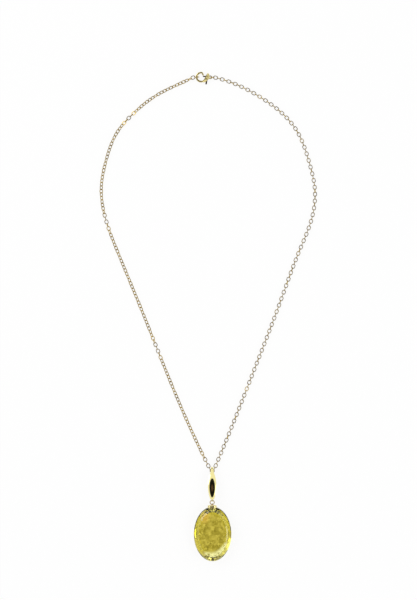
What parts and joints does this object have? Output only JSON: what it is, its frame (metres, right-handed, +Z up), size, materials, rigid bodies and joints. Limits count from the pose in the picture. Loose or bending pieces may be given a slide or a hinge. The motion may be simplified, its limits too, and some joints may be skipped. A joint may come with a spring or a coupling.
{
  "type": "pendant necklace",
  "caption": "Fine cable chain necklace with an oval faceted stone pendant on a long marquise bail and a lobster clasp.",
  "frame": {"origin": "middle of the necklace as it lies flat, on the surface under it", "axes": "+Z up from the surface, +Y from the stone towards the clasp, +X to the right seen from above"},
  "size_m": [0.1045, 0.2349, 0.007],
  "materials": {
    "chain_gold": "polished flattened cable links",
    "bail_gold": "mirror polished",
    "fitting_gold": "polished",
    "clasp_gold": "polished casting",
    "stone": "faceted and polished, transparent",
    "spring_steel": "bright drawn wire"
  },
  "bodies": {
    "chain_crown": {"crown_links": "chain_gold"},
    "left_1": {"left_links_01": "chain_gold", "left_links_02": "chain_gold", "left_links_03": "chain_gold"},
    "left_2": {"left_links_04": "chain_gold", "left_links_05": "chain_gold", "left_links_06": "chain_gold", "left_links_07": "chain_gold"},
    "left_3": {"left_links_08": "chain_gold", "left_links_09": "chain_gold", "left_links_10": "chain_gold"},
    "left_4": {"left_links_11": "chain_gold", "left_links_12": "chain_gold"},
    "right_1": {"right_links_01": "chain_gold", "right_links_02": "chain_gold", "right_links_03": "chain_gold"},
    "right_2": {"right_links_04": "chain_gold", "right_links_05": "chain_gold", "right_links_06": "chain_gold", "right_links_07": "chain_gold"},
    "right_3": {"right_links_08": "chain_gold", "right_links_09": "chain_gold", "right_links_10": "chain_gold"},
    "right_4": {"right_links_11": "chain_gold", "right_links_12": "chain_gold"},
    "bail": {"bail_shell": "bail_gold", "bail_eye": "bail_gold"},
    "pendant_ring": {"pendant_ring": "fitting_gold"},
    "pendant": {"gemstone": "stone", "stone_peg": "fitting_gold", "stone_cap": "fitting_gold"},
    "end_ring": {"end_ring": "fitting_gold"},
    "clasp_ring": {"clasp_ring": "fitting_gold"},
    "clasp": {"clasp_body": "clasp_gold", "clasp_rivet": "clasp_gold", "clasp_spring": "spring_steel"},
    "clasp_lever": {"clasp_lever": "clasp_gold"}
  },
  "joints": [
    {"name": "chain_fold", "type": "hinge", "parent": "chain_crown", "child": "left_1", "pos_m": [-0.00015, -0.07127, 0.00157], "axis": [0, 0, 1], "range_deg": [-12, 12]},
    {"name": "left_2_fold", "type": "hinge", "parent": "left_1", "child": "left_2", "pos_m": [-0.02426, -0.01612, 0.00094], "axis": [0, 0, 1], "range_deg": [-9.64, 9.64]},
    {"name": "left_3_fold", "type": "hinge", "parent": "left_2", "child": "left_3", "pos_m": [-0.04901, 0.04601, 0.00094], "axis": [0, 0, 1], "range_deg": [-12.47, 12.47]},
    {"name": "left_4_fold", "type": "hinge", "parent": "left_3", "child": "left_4", "pos_m": [-0.03764, 0.09581, 0.00094], "axis": [0, 0, 1], "range_deg": [-4.74, 4.74]},
    {"name": "end_ring_fold", "type": "hinge", "parent": "left_4", "child": "end_ring", "pos_m": [-0.00662, 0.11505, 0.00135], "axis": [0, 0, 1], "range_deg": [-5.37, 5.37]},
    {"name": "right_1_fold", "type": "hinge", "parent": "chain_crown", "child": "right_1", "pos_m": [0.00394, -0.0712, 0.00157], "axis": [0, 0, 1], "range_deg": [-9.94, 9.94]},
    {"name": "right_2_fold", "type": "hinge", "parent": "right_1", "child": "right_2", "pos_m": [0.02611, -0.01575, 0.00094], "axis": [0, 0, 1], "range_deg": [-10.17, 10.17]},
    {"name": "right_3_fold", "type": "hinge", "parent": "right_2", "child": "right_3", "pos_m": [0.04969, 0.04627, 0.00094], "axis": [0, 0, 1], "range_deg": [-11.98, 11.98]},
    {"name": "right_4_fold", "type": "hinge", "parent": "right_3", "child": "right_4", "pos_m": [0.03747, 0.09586, 0.00094], "axis": [0, 0, 1], "range_deg": [-4.71, 4.71]},
    {"name": "clasp_ring_fold", "type": "hinge", "parent": "right_4", "child": "clasp_ring", "pos_m": [0.00301, 0.1149, 0.0012], "axis": [0, 0, 1], "range_deg": [-3.8, 3.8]},
    {"name": "clasp_fold", "type": "hinge", "parent": "clasp_ring", "child": "clasp", "pos_m": [0.00115, 0.1149, 0.0012], "axis": [0, 0, 1], "range_deg": [-3.8, 3.8]},
    {"name": "bail_swing", "type": "hinge", "parent": "chain_crown", "child": "bail", "pos_m": [0.002, -0.07425, 0.00185], "axis": [1, 0, 0], "range_deg": [-90, 90]},
    {"name": "ring_swing", "type": "hinge", "parent": "bail", "child": "pendant_ring", "pos_m": [0.002, -0.08831, 0.00444], "axis": [1, 0, 0], "range_deg": [-60, 60]},
    {"name": "pendant_sway", "type": "hinge", "parent": "pendant_ring", "child": "pendant", "pos_m": [0.002, -0.0893, 0.00462], "axis": [0, 0.181, 0.9835], "range_deg": [-30, 30]},
    {"name": "lever_open", "type": "hinge", "parent": "clasp", "child": "clasp_lever", "pos_m": [-0.00035, 0.1153, 0.0012], "axis": [0, 0, 1], "range_deg": [0, 22], "stiffness_Nm_per_rad": 0.012, "springref_deg": -22.92}
  ],
  "couplings": [
    {"joint": "left_2_fold", "follows": "chain_fold", "ratio": -0.7989},
    {"joint": "left_3_fold", "follows": "chain_fold", "ratio": -1.0347},
    {"joint": "left_4_fold", "follows": "chain_fold", "ratio": 0.3904},
    {"joint": "end_ring_fold", "follows": "chain_fold", "ratio": 0.4432},
    {"joint": "right_1_fold", "follows": "chain_fold", "ratio": -0.8244},
    {"joint": "right_2_fold", "follows": "chain_fold", "ratio": 0.8436},
    {"joint": "right_3_fold", "follows": "chain_fold", "ratio": 0.9939},
    {"joint": "right_4_fold", "follows": "chain_fold", "ratio": -0.3884},
    {"joint": "clasp_ring_fold", "follows": "chain_fold", "ratio": -0.3123},
    {"joint": "clasp_fold", "follows": "chain_fold", "ratio": -0.3123}
  ]
}
